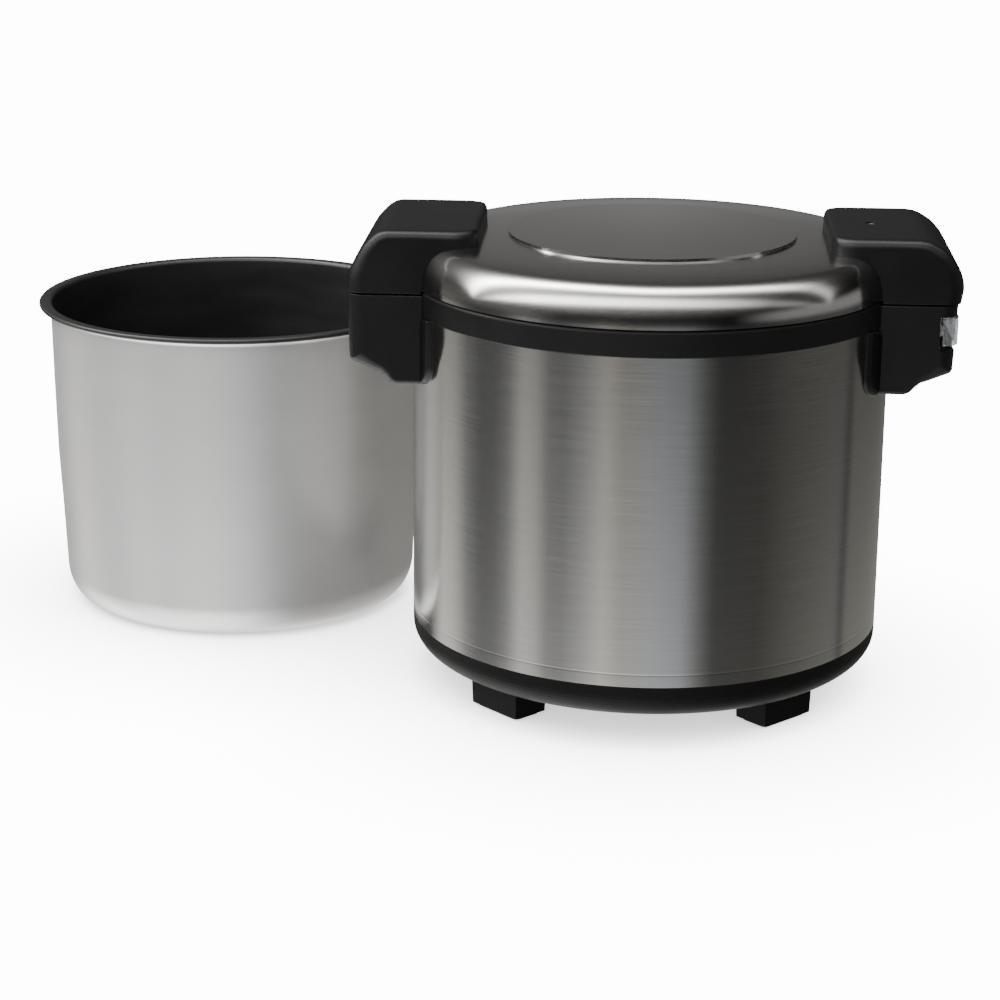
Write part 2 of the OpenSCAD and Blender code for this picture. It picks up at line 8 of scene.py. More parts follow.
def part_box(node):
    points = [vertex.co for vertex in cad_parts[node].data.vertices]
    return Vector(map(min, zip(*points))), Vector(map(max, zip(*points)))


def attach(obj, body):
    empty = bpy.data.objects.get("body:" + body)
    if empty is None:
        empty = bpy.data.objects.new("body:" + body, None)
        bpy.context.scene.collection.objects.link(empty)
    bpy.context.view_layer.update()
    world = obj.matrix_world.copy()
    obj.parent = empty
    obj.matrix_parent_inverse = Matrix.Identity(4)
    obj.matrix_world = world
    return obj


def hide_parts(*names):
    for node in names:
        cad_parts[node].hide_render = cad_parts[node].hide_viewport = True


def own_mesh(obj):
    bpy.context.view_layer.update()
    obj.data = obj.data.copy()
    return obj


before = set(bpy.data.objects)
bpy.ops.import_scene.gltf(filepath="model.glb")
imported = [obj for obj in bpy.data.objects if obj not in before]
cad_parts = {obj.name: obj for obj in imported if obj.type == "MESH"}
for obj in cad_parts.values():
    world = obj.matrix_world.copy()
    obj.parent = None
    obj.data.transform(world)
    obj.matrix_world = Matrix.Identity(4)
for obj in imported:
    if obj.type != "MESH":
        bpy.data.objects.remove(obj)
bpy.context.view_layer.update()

MM = 0.001
CREASE = 32  # degrees between faces from which an edge stays sharp
CUTTER_STEPS = 192
BODY_R = 180.0
SHELL_Z0, SHELL_Z1 = 50.4, 294.3  # lower and upper edge of the drum
BEAD_Z = 60.0
RING_Z1 = 313.7
LID_R = 181.5
LID_Z0 = 314.4
HANDLE_Z1 = 358.0
TIP_X, FRONT_TIP_X = 127.5, 130.5  # where the rear and front blocks end over the lid
TIP_CORNER = 18.0
SEAM_Z = 311.0  # between the lid's blocks and the housings below them
HOUSING_Z0 = 243.5
HALF_W = 70.0
SCREW_X, SCREW_SEAT_Z = 163.0, 354.0


# ---------- shader helpers ----------


def node(tree, kind, inputs=None, **settings):
    """Adds a shader node, links the inputs that are sockets and sets the others."""
    made = tree.nodes.new("ShaderNode" + kind)
    for key, value in settings.items():
        setattr(made, key, value)
    for key, value in (inputs or {}).items():
        if isinstance(value, bpy.types.NodeSocket):
            tree.links.new(value, made.inputs[key])
        else:
            made.inputs[key].default_value = value
    return made


def maths(tree, operation, a, b=0.0):
    return node(tree, "Math", {0: a, 1: b}, operation=operation).outputs[0]


def ramp(tree, factor, stops):
    """Straight steps between (position, brightness or colour) stops."""
    made = node(tree, "ValToRGB", {0: factor})
    elements = made.color_ramp.elements
    while len(elements) > 1:
        elements.remove(elements[0])
    for i, (position, colour) in enumerate(stops):
        element = elements[0] if i == 0 else elements.new(position)
        element.position = position
        if not hasattr(colour, "__len__"):
            colour = (colour, colour, colour)
        element.color = (*colour, 1)
    return made.outputs[0]


def span(tree, value, low, high, out_low=0.0, out_high=1.0, smooth=True):
    return node(
        tree,
        "MapRange",
        {0: value, 1: low, 2: high, 3: out_low, 4: out_high},
        interpolation_type="SMOOTHSTEP" if smooth else "LINEAR",
    ).outputs[0]


def noise(tree, vector, scale, detail=3.0, rough=0.5):
    return node(
        tree,
        "TexNoise",
        {"Vector": vector, "Scale": scale, "Detail": detail, "Roughness": rough},
    ).outputs[0]


def material(name):
    made = bpy.data.materials.new(name)
    made.use_nodes = True
    tree = made.node_tree
    tree.nodes.clear()
    surface = node(tree, "BsdfPrincipled")
    output = node(tree, "OutputMaterial")
    tree.links.new(surface.outputs[0], output.inputs[0])
    where = node(tree, "TexCoord").outputs["Object"]
    return made, tree, surface, where


def feed(tree, surface, name, value):
    if isinstance(value, bpy.types.NodeSocket):
        tree.links.new(value, surface.inputs[name])
    else:
        surface.inputs[name].default_value = value


def tint(tree, factor, dark, light):
    return node(
        tree, "Mix", {0: factor, 6: (*dark, 1), 7: (*light, 1)}, data_type="RGBA"
    ).outputs[2]


def bumped(tree, surface, height, strength, distance, round_edges=0.0):
    inputs = {"Height": height, "Strength": strength, "Distance": distance}
    if round_edges:
        inputs["Normal"] = node(tree, "Bevel", {"Radius": round_edges}, samples=4).outputs[0]
    bump = node(tree, "Bump", inputs)
    feed(tree, surface, "Normal", bump.outputs[0])


def turning(tree, where, centre):
    """Angle round a vertical axis, distance from it, and height."""
    moved = node(tree, "VectorMath", {0: where, 1: (*centre, 0)}, operation="SUBTRACT").outputs[0]
    parts = node(tree, "SeparateXYZ", {0: moved}).outputs
    angle = maths(tree, "ARCTAN2", parts[1], parts[0])
    across = maths(tree, "SQRT", maths(tree, "ADD", maths(tree, "MULTIPLY", parts[0], parts[0]),
                                       maths(tree, "MULTIPLY", parts[1], parts[1])))
    return angle, across, parts[2]


def turned_finish(tree, where, centre, along, fine):
    """Streaks that run round the axis: slow along the turn, fine across it."""
    angle, across, height = turning(tree, where, centre)
    return node(
        tree,
        "CombineXYZ",
        {
            0: maths(tree, "MULTIPLY", angle, along),
            1: maths(tree, "MULTIPLY", across, fine),
            2: maths(tree, "MULTIPLY", height, fine),
        },
    ).outputs[0]


def spun_metal(name, dark, light, roughness, anisotropy, along, fine, bump=0.12):
    """Sheet whose grain runs round the body's axis."""
    made, tree, surface, where = material(name)
    streak = noise(tree, turned_finish(tree, where, (0, 0), along, fine), 1.0, 4.0, 0.62)
    wide = noise(tree, turned_finish(tree, where, (0, 0), along * 0.35, fine * 0.18), 1.0, 2.0)
    both = maths(tree, "ADD", maths(tree, "MULTIPLY", streak, 0.7), maths(tree, "MULTIPLY", wide, 0.3))
    feed(tree, surface, "Base Color", tint(tree, span(tree, both, 0.3, 0.7), dark, light))
    feed(tree, surface, "Metallic", 1.0)
    feed(tree, surface, "Roughness", span(tree, streak, 0.25, 0.75, roughness * 0.88, roughness * 1.14))
    feed(tree, surface, "Anisotropic", anisotropy)
    feed(tree, surface, "Anisotropic Rotation", 0.25)
    feed(tree, surface, "Tangent", node(tree, "Tangent", direction_type="RADIAL", axis="Z").outputs[0])
    bumped(tree, surface, streak, bump, 0.0001)
    return made


def straight_metal(name, dark, light, roughness, anisotropy, along=70.0, fine=1300.0, bump=0.05):
    """Sheet brushed along X before it was pressed."""
    made, tree, surface, where = material(name)
    stretched = node(tree, "Mapping", {0: where, 3: (along, fine, fine)}).outputs[0]
    broad = node(tree, "Mapping", {0: where, 3: (along * 0.15, fine * 0.2, fine * 0.2)}).outputs[0]
    streak = noise(tree, stretched, 1.0, 4.0, 0.6)
    wide = noise(tree, broad, 1.0, 2.0)
    both = maths(tree, "ADD", maths(tree, "MULTIPLY", streak, 0.6), maths(tree, "MULTIPLY", wide, 0.4))
    feed(tree, surface, "Base Color", tint(tree, span(tree, both, 0.3, 0.7), dark, light))
    feed(tree, surface, "Metallic", 1.0)
    feed(tree, surface, "Roughness", span(tree, streak, 0.25, 0.75, roughness * 0.9, roughness * 1.1))
    feed(tree, surface, "Anisotropic", anisotropy)
    feed(tree, surface, "Anisotropic Rotation", 0.25)
    grain = node(tree, "VectorTransform", {0: (1, 0, 0)}, vector_type="VECTOR",
                 convert_from="OBJECT", convert_to="WORLD")
    feed(tree, surface, "Tangent", grain.outputs[0])
    bumped(tree, surface, streak, bump, 0.00008)
    return made


def moulded(name, dark, light, roughness, grain=2600.0, strength=0.1, edge=0.0006, coat=0.0, specular=0.5):
    """Plastic, rubber or ceramic with a fine grain, faint clouds and softened edges."""
    made, tree, surface, where = material(name)
    grit = noise(tree, where, grain, 2.0)
    cloud = noise(tree, where, 14.0, 4.0)
    feed(tree, surface, "Base Color", tint(tree, cloud, dark, light))
    feed(tree, surface, "Roughness", span(tree, cloud, 0.3, 0.7, roughness * 0.9, roughness * 1.1))
    feed(tree, surface, "Specular IOR Level", specular)
    feed(tree, surface, "Coat Weight", coat)
    feed(tree, surface, "Coat Roughness", 0.12)
    bumped(tree, surface, grit, strength, 0.00012, edge)
    return made


def plain_metal(name, dark, light, roughness, grain=900.0, strength=0.1, edge=0.0003, metallic=1.0):
    """Metal without a brushed direction."""
    made, tree, surface, where = material(name)
    grit = noise(tree, where, grain, 3.0)
    cloud = noise(tree, where, 35.0, 4.0)
    feed(tree, surface, "Base Color", tint(tree, cloud, dark, light))
    feed(tree, surface, "Metallic", metallic)
    feed(tree, surface, "Roughness", span(tree, cloud, 0.3, 0.7, roughness * 0.85, roughness * 1.2))
    bumped(tree, surface, grit, strength, 0.0001, edge)
    return made


# ---------- materials ----------

pot_low, pot_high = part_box("inner_pot")
pot_centre = ((pot_low.x + pot_high.x) / 2, (pot_low.y + pot_high.y) / 2)

drum_steel = spun_metal("drum_steel", (0.545, 0.54, 0.52), (0.59, 0.585, 0.565), 0.15, 0.8,
                        4.0, 1700.0, bump=0.015)
lid_steel = straight_metal("lid_steel", (0.545, 0.525, 0.505), (0.605, 0.585, 0.565), 0.15, 0.5, bump=0.02)
inner_metal = spun_metal("lid_aluminium", (0.6, 0.6, 0.59), (0.72, 0.72, 0.71), 0.33, 0.4, 6.0, 500.0)
liner_turned = spun_metal("liner_turned", (0.52, 0.52, 0.51), (0.64, 0.64, 0.63), 0.3, 0.5, 8.0, 700.0)

black_plastic = moulded("black_plastic", (0.0016, 0.0016, 0.0018), (0.003, 0.0029, 0.0032), 0.42,
                        specular=0.3)
base_plastic = moulded("base_plastic", (0.0025, 0.0025, 0.0025), (0.0045, 0.0045, 0.0045), 0.5,
                       specular=0.1)
ring_plastic = moulded("ring_plastic", (0.002, 0.002, 0.002), (0.004, 0.004, 0.004), 0.5, specular=0.2)
bezel_plastic = moulded("bezel_plastic", (0.01, 0.01, 0.01), (0.014, 0.014, 0.014), 0.3, edge=0.0004)
white_plastic = moulded("rocker_white", (0.72, 0.72, 0.7), (0.8, 0.8, 0.78), 0.22, 1800.0, 0.03,
                        edge=0.0005, coat=0.3)
rubber = moulded("rubber_pads", (0.008, 0.008, 0.008), (0.014, 0.014, 0.014), 0.75, 1500.0, 0.25)
ceramic = moulded("ceramic_parts", (0.7, 0.67, 0.58), (0.82, 0.79, 0.7), 0.6, 1400.0, 0.2)
red_wire = moulded("wire_red", (0.36, 0.03, 0.02), (0.46, 0.05, 0.03), 0.45, 1200.0, 0.08)
silicone = moulded("silicone", (0.4, 0.4, 0.38), (0.48, 0.48, 0.46), 0.55, 1200.0, 0.1)

screw_steel = plain_metal("screw_steel", (0.5, 0.5, 0.48), (0.66, 0.66, 0.64), 0.25)
brass_screw = plain_metal("handle_screw_steel", (0.6, 0.5, 0.28), (0.8, 0.7, 0.45), 0.4, metallic=0.6)
liner_steel = plain_metal("liner_steel", (0.5, 0.5, 0.49), (0.62, 0.62, 0.61), 0.34)
cast_metal = plain_metal("cast_aluminium", (0.5, 0.5, 0.51), (0.64, 0.64, 0.65), 0.42, 500.0, 0.3)
dark_sheath = plain_metal("element_sheath", (0.1, 0.1, 0.1), (0.24, 0.22, 0.2), 0.5, 500.0, 0.25)
spring_steel = plain_metal("spring_steel", (0.36, 0.36, 0.36), (0.46, 0.46, 0.46), 0.28)


def glass_fibre():
    made, tree, surface, where = material("glass_wool")
    stretched = node(tree, "Mapping", {0: where, 3: (120.0, 120.0, 700.0)}).outputs[0]
    tuft = noise(tree, stretched, 1.0, 6.0, 0.7)
    feed(tree, surface, "Base Color", tint(tree, tuft, (0.55, 0.5, 0.36), (0.86, 0.82, 0.7)))
    feed(tree, surface, "Roughness", 0.95)
    bumped(tree, surface, tuft, 0.8, 0.002)
    return made


def clear_plastic():
    made, tree, surface, where = material("clear_guard")
    cloud = noise(tree, where, 60.0, 3.0)
    feed(tree, surface, "Base Color", tint(tree, cloud, (0.56, 0.59, 0.6), (0.66, 0.68, 0.69)))
    feed(tree, surface, "Roughness", span(tree, cloud, 0.3, 0.7, 0.05, 0.12))
    feed(tree, surface, "IOR", 1.49)
    feed(tree, surface, "Transmission Weight", 0.94)
    bumped(tree, surface, cloud, 0.03, 0.0003, 0.0004)
    return made


def amber_lens():
    made, tree, surface, where = material("lamp_lens")
    parts = node(tree, "SeparateXYZ", {0: where}).outputs
    ribs = node(tree, "TexWave", {"Vector": where, "Scale": 500.0, "Distortion": 0.3},
                bands_direction="Y").outputs[1]
    feed(tree, surface, "Base Color", tint(tree, ribs, (0.62, 0.1, 0.02), (0.85, 0.24, 0.05)))
    feed(tree, surface, "Roughness", span(tree, parts[2], 0.284, 0.297, 0.12, 0.2))
    feed(tree, surface, "Transmission Weight", 0.35)
    bumped(tree, surface, ribs, 0.15, 0.0003)
    return made


def satin_pot():
    made, tree, surface, where = material("pot_aluminium")
    fine = noise(tree, where, 1700.0, 2.0)
    haze = noise(tree, turned_finish(tree, where, pot_centre, 2.5, 60.0), 1.0, 3.0)
    feed(tree, surface, "Base Color", tint(tree, haze, (0.82, 0.815, 0.805), (0.85, 0.845, 0.835)))
    feed(tree, surface, "Metallic", 0.84)
    feed(tree, surface, "Roughness", span(tree, haze, 0.3, 0.7, 0.385, 0.4))
    bumped(tree, surface, fine, 0.06, 0.00006)
    return made


def non_stick():
    made, tree, surface, where = material("pot_lining")
    fleck = noise(tree, where, 2200.0, 2.0)
    haze = noise(tree, turned_finish(tree, where, pot_centre, 2.0, 40.0), 1.0, 3.0)
    feed(tree, surface, "Base Color", tint(tree, haze, (0.006, 0.006, 0.0065), (0.01, 0.01, 0.0105)))
    feed(tree, surface, "Roughness", span(tree, haze, 0.3, 0.7, 0.36, 0.48))
    bumped(tree, surface, fleck, 0.15, 0.0001)
    return made


glass_wool = glass_fibre()
clear_guard = clear_plastic()
lamp_lens = amber_lens()
pot_satin = satin_pot()
pot_lining = non_stick()

# ---------- shape helpers, in millimetres ----------


def arc(cx, cz, ax, az, start, end, steps):
    """Part of an ellipse round (cx, cz), from start to end in degrees."""
    return [
        (cx + ax * math.cos(math.radians(start + (end - start) * i / steps)),
         cz + az * math.sin(math.radians(start + (end - start) * i / steps)))
        for i in range(steps + 1)
    ]


def clean(mesh, crease):
    """Joins double points, turns faces outwards and shades smooth but for edges sharper than crease."""
    work = bmesh.new()
    work.from_mesh(mesh)
    bmesh.ops.remove_doubles(work, verts=work.verts, dist=2e-6)
    bmesh.ops.dissolve_degenerate(work, edges=work.edges, dist=1e-6)
    bmesh.ops.recalc_face_normals(work, faces=work.faces)
    work.to_mesh(mesh)
    work.free()
    mesh.shade_smooth()
    mesh.set_sharp_from_angle(angle=math.radians(crease))


def piece(name, verts, faces, finish, crease=CREASE):
    mesh = bpy.data.meshes.new(name)
    mesh.from_pydata([(x * MM, y * MM, z * MM) for x, y, z in verts], [], faces)
    clean(mesh, crease)
    made = bpy.data.objects.new(name, mesh)
    bpy.context.scene.collection.objects.link(made)
    if finish:
        mesh.materials.append(finish)
    return made


def revolve(name, line, finish, steps=256, centre=(0, 0), crease=CREASE):
    """Closed outline of (radius, height) turned round a vertical axis."""
    verts, faces = [], []
    n = len(line)
    for k in range(steps):
        c, s = math.cos(2 * math.pi * k / steps), math.sin(2 * math.pi * k / steps)
        verts += [(centre[0] + r * c, centre[1] + r * s, z) for r, z in line]
    for k in range(steps):
        k2 = (k + 1) % steps
        for i in range(n):
            j = (i + 1) % n
            if line[i][0] < 1e-6 and line[j][0] < 1e-6:
                continue
            faces.append((k * n + i, k2 * n + i, k2 * n + j, k * n + j))
    return piece(name, verts, faces, finish, crease)


def moved_in(line, before, after):
    """Closed outline moved inwards, by before from the edge that comes in and by after from the next."""
    n = len(line)
    area = sum(line[i - 1][0] * line[i][1] - line[i][0] * line[i - 1][1] for i in range(n))
    side = 1 if area > 0 else -1
    out = []
    for i in range(n):
        p, q, r = line[i - 1], line[i], line[(i + 1) % n]
        e1 = (Vector(q) - Vector(p)).normalized()
        e2 = (Vector(r) - Vector(q)).normalized()
        n1 = Vector((-e1.y, e1.x)) * side
        n2 = Vector((-e2.y, e2.x)) * side
        spread = n1.x * n2.y - n1.y * n2.x
        if abs(spread) < 0.35:
            move = (n1 + n2) / (1 + n1.dot(n2)) * max(before[i], after[i])
        else:
            shift = (before[i] * n2.y - after[i] * n1.y, after[i] * n1.x - before[i] * n2.x)
            move = Vector(shift) / spread
        out.append(Vector(q) + move)
    return out


def rounded(line, radii, steps=5):
    """Closed outline with rounded corners, each of steps + 1 points, as (point, which corner)."""
    n = len(line)
    out = []
    for i in range(n):
        q = line[i]
        if radii[i] <= 0:
            out.append((q, i))
            continue
        a, b = line[i - 1] - q, line[(i + 1) % n] - q
        la, lb = a.length, b.length
        a, b = a / la, b / lb
        half = math.acos(max(-1, min(1, a.dot(b)))) / 2
        reach = min(radii[i] / math.tan(half), la * 0.48, lb * 0.48)
        radius = reach * math.tan(half)
        middle = q + (a + b).normalized() * (radius / math.sin(half))
        start, end = q + a * reach - middle, q + b * reach - middle
        turn = math.atan2(start.x * end.y - start.y * end.x, start.dot(end))
        for k in range(steps + 1):
            t = turn * k / steps
            c, s = math.cos(t), math.sin(t)
            out.append((middle + Vector((start.x * c - start.y * s, start.x * s + start.y * c)), i))
    return out


def narrow_tip(made, half, end, radius, steps=12):
    """Rounds the free end of a block as seen from above."""
    work = bmesh.new()
    work.from_mesh(made.data)
    side = -1 if sum(v.co.x for v in work.verts) < 0 else 1
    for k in range(1, steps + 1):
        at_x = side * (end + radius * (1 - math.cos(math.pi / 2 * k / steps))) * MM
        everything = work.verts[:] + work.edges[:] + work.faces[:]
        bmesh.ops.bisect_plane(work, geom=everything, dist=1e-7, plane_co=(at_x, 0, 0), plane_no=(1, 0, 0))
    for v in work.verts:
        short = min(radius, max(0.0, radius - (abs(v.co.x) / MM - end)))
        v.co.y *= (half - radius + math.sqrt(radius**2 - short**2)) / half
    work.to_mesh(made.data)
    work.free()
    clean(made.data, CREASE)
    return made


def eased(corners, first, last, parts=4):
    """The same corners with a smooth (Catmull-Rom) curve through those from first to last."""
    out = corners[:first]
    for i in range(first, last):
        p, q, r, t = (corners[k] for k in (max(i - 1, first), i, i + 1, min(i + 2, last)))
        for k in range(parts):
            u = k / parts
            at = [
                0.5 * (2 * q[a] + (r[a] - p[a]) * u
                       + (2 * p[a] - 5 * q[a] + 4 * r[a] - t[a]) * u * u
                       + (3 * q[a] - p[a] - 3 * r[a] + t[a]) * u**3)
                for a in range(3)
            ]
            out.append((at[0], at[1], at[2], q[3] if k == 0 else 0))
    return out + corners[last:]


def block(name, corners, half, finish, draft=0.0, steps=8):
    """Side outline widened along Y, narrower towards its top by draft.

    A corner is (x, z, rounding of the next edge, corner radius, rounding of the edge before).
    """
    line = [c[:2] for c in corners]
    after = [c[2] for c in corners]
    before = [c[4] if len(c) > 4 else c[2] for c in corners]
    rounds = [max(pair) for pair in zip(before, after)]
    fillets = [c[3] for c in corners]
    z0 = min(z for _, z in line)
    rings = []
    for k in range(steps + 1):
        a = math.pi / 2 * k / steps
        share = 1 - math.sin(a)
        radii = [max(f - r * share, 0.25 * f) if f > 0 else 0 for f, r in zip(fillets, rounds)]
        ring = rounded(moved_in(line, [r * share for r in before], [r * share for r in after]), radii)
        rings.append([(p.x, half - rounds[i] * (1 - math.cos(a)), p.y) for p, i in ring])
    rings = rings + [[(x, -y, z) for x, y, z in ring] for ring in reversed(rings)]
    rings = [[(x, y * (1 - draft * (z - z0)), z) for x, y, z in ring] for ring in rings]
    n = len(rings[0])
    verts = [p for ring in rings for p in ring]
    faces = []
    for k in range(len(rings) - 1):
        for i in range(n):
            j = (i + 1) % n
            faces.append((k * n + i, k * n + j, (k + 1) * n + j, (k + 1) * n + i))
    faces.append(tuple(range(n)))
    faces.append(tuple((len(rings) - 1) * n + i for i in reversed(range(n))))
    return piece(name, verts, faces, finish)


def box(name, low, high):
    verts = [(x, y, z) for x in (low[0], high[0]) for y in (low[1], high[1]) for z in (low[2], high[2])]
    faces = [(0, 1, 3, 2), (4, 6, 7, 5), (0, 4, 5, 1), (2, 3, 7, 6), (0, 2, 6, 4), (1, 5, 7, 3)]
    return piece(name, verts, faces, None)


def rod(name, start, end, radius, steps=48):
    start, end = Vector(start), Vector(end)
    along = (end - start).normalized()
    side = along.orthogonal().normalized()
    other = along.cross(side)
    angles = [2 * math.pi * k / steps for k in range(steps)]
    ring = [side * (radius * math.cos(a)) + other * (radius * math.sin(a)) for a in angles]
    verts = [tuple(start + p) for p in ring] + [tuple(end + p) for p in ring]
    faces = [(k, (k + 1) % steps, steps + (k + 1) % steps, steps + k) for k in range(steps)]
    faces += [tuple(reversed(range(steps))), tuple(range(steps, 2 * steps))]
    return piece(name, verts, faces, None)


def cut(made, *others):
    """Cuts the other shapes away and removes them."""
    for other in others:
        step = made.modifiers.new("cut", "BOOLEAN")
        step.object = other
        step.operation = "DIFFERENCE"
        step.solver = "EXACT"
    shape = made.evaluated_get(bpy.context.evaluated_depsgraph_get())
    mesh = bpy.data.meshes.new_from_object(shape)
    made.modifiers.clear()
    made.data = mesh
    for other in others:
        bpy.data.objects.remove(other)
    clean(mesh, CREASE)
    return made


def settle(made, body, *nodes, slot=None):
    made.modifiers.new("weighted", "WEIGHTED_NORMAL").keep_sharp = True
    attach(made, body)
    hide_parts(*nodes)
    return made


# ---------- drum, ring and lid ----------

drum_line = [
    (BODY_R - 0.8, SHELL_Z0), (BODY_R - 0.25, SHELL_Z0), (BODY_R, SHELL_Z0 + 0.25),
    (BODY_R, BEAD_Z - 1.0), (BODY_R - 0.08, BEAD_Z - 0.4), (BODY_R - 0.08, BEAD_Z + 0.4),
    (BODY_R, BEAD_Z + 1.0), (BODY_R, SHELL_Z1), (BODY_R - 0.8, SHELL_Z1),
]
drum = revolve("drum_sheet", drum_line, drum_steel)
settle(drum, "cooker", "steel_shell", slot="brushed_steel")

ring_line = (
    [(157.6, 304), (157.6, 297), (160.3, 297), (161.5, 300.5), (174, 300.5), (176, 290),
     (179, 290), (179, SHELL_Z1 + 0.1), (BODY_R + 0.1, SHELL_Z1 + 0.1)]
    + arc(BODY_R + 0.6, SHELL_Z1 + 1.2, 0.9, 1.0, -70, 0, 4)
    + arc(BODY_R - 1.5, RING_Z1 - 3, 3, 3, 0, 90, 10)
    + arc(169.8, RING_Z1 - 2.6, 2.6, 2.6, 90, 172, 8)
    + [(165.4, 306.5), (165.2, 304)]
)
ring = revolve("rim_ring", ring_line, ring_plastic)
settle(ring, "cooker", "top_ring", slot="black_plastic")


def lid_line(t):
    """Outer line of the lid from its lower edge to its axis, moved inwards by t."""
    return (
        [(LID_R - t, LID_Z0)]
        + arc(162.5, 316, 19 - t, 28.3 - t, 0, 82, 40)
        + [(160, 344.75 - t), (150, 345.6 - t), (140, 346.2 - t), (130, 346.7 - t), (115, 347.15 - t)]
        + [(108.5, 347.3 - t), (108.3, 349.38 - t), (104, 349.45 - t),
           (100, 349.5 - t), (60, 350.1 - t), (20, 350.28 - t), (0, 350.3 - t)]
    )


def lid_shell_outline():
    """The pressed lid sheet, 0.9 mm thick at its edge."""
    outer = lid_line(0)
    inner = [(LID_R - 0.9, LID_Z0)] + arc(162.5, 316, 18.1, 27.4, 0, 82, 20) + [(150, 344.7), (0, 347.9)]
    return outer + inner[::-1]


lid = revolve("lid_sheet", lid_shell_outline(), lid_steel, 320, crease=40)
settle(lid, "lid", "lid_shell", slot="brushed_steel")


def lid_cutter():
    """The room that the lid's sheet takes out of a block."""
    line = [(0, 296), (LID_R - 4, 296), (LID_R - 4, LID_Z0 + 0.01), (LID_R + 0.05, LID_Z0)]
    line += arc(162.5, 316, 19.05, 28.35, 0, 82, 24) + [(150, 345.65), (130, 346.75), (108, 347.4), (0, 347.4)]
    return revolve("lid_cutter", line, None, CUTTER_STEPS)


def ring_cutter():
    """The room that the rim ring takes out of a block, with 0.8 mm round it."""
    reach, top = LID_R + 0.8, LID_Z0 - 0.2
    return revolve("ring_cutter", [(0, 300), (reach, 300), (reach, top), (0, top)], None, CUTTER_STEPS)


def drum_cutter():
    """The room that the drum and the rim ring take out of a housing."""
    line = [(0, 200), (BODY_R + 0.05, 200), (BODY_R + 0.05, SHELL_Z1 + 0.05),
            (BODY_R + 1.6, SHELL_Z1 + 0.05), (BODY_R + 1.6, 330), (0, 330)]
    return revolve("drum_cutter", line, None, CUTTER_STEPS)


# ---------- handle blocks ----------

rear_line = [
    (224.0, SEAM_Z + 0.2, 12, 4, 0.8), (224, 320, 12, 0), (223.2, 325, 12, 0), (220.6, 331, 11, 0),
    (216.6, 339, 10, 0), (211.4, 346.8, 8.5, 0), (204.6, 353.6, 7.5, 0), (199.5, 356.8, 7, 0),
    (194, HANDLE_Z1, 6.5, 0), (176, HANDLE_Z1, 6, 0), (150, HANDLE_Z1, 6.5, 0),
    (TIP_X, HANDLE_Z1, 7, 4.5), (TIP_X, 334, 1, 0, 7), (160, SEAM_Z + 0.2, 0.8, 0, 1),
]
front_line = [
    (226.3, SEAM_Z + 0.2, 12, 0.8, 0.8), (227.4, 318, 12, 0), (227.9, 322, 12, 0), (227.4, 327, 12, 0),
    (225.4, 333.5, 11, 0), (222, 340, 10, 0), (218.2, 345, 9, 0), (213.4, 349.8, 8, 0),
    (207, 354, 7.5, 0), (201, 356.8, 7, 0), (194, HANDLE_Z1, 6.5, 0), (176, HANDLE_Z1, 6, 0),
    (150, HANDLE_Z1, 6.5, 0), (FRONT_TIP_X, HANDLE_Z1, 7, 4.5), (FRONT_TIP_X, 334, 1, 0, 7),
    (160, SEAM_Z + 0.2, 0.8, 0, 1),
]
housing_line = [
    (224.4, SEAM_Z - 0.2, 12, 0.8, 0.8), (224, 300, 12, 0), (223.2, 276, 12, 0), (222.4, 259.3, 11, 5),
    (204.5, 253.4, 7, 0), (199.5, 251.9, 6, 0), (195.2, 248.8, 5, 0), (191.8, 245.2, 4, 0),
    (187.6, HOUSING_Z0, 3, 0), (150, HOUSING_Z0, 1, 0, 3), (150, SEAM_Z - 0.2, 0.8, 0, 1),
]


def mirrored(corners):
    """The same corners on the hinge side, where x is negative."""
    return [(-c[0], *c[1:]) for c in corners]


rear_handle = block("rear_handle_block", mirrored(eased(rear_line, 1, 8)), HALF_W, black_plastic, 0.0007)
narrow_tip(rear_handle, HALF_W, TIP_X, TIP_CORNER)
slots = [box("slot", (-260, s * 40 - 2, 300), (-205, s * 40 + 2, 325.4)) for s in (-1, 1)]
cut(rear_handle, lid_cutter(), ring_cutter(), *slots)
settle(rear_handle, "lid", "rear_handle", slot="black_plastic")

front_handle = block("front_handle_block", eased(front_line, 1, 10), HALF_W, black_plastic, 0.0007)
bore = rod("bore", (SCREW_X, 0, SCREW_SEAT_Z), (SCREW_X, 0, 370), 4.75)
narrow_tip(front_handle, HALF_W, FRONT_TIP_X, TIP_CORNER)
cut(front_handle, lid_cutter(), ring_cutter(), bore)
settle(front_handle, "lid", "front_handle", slot="black_plastic")


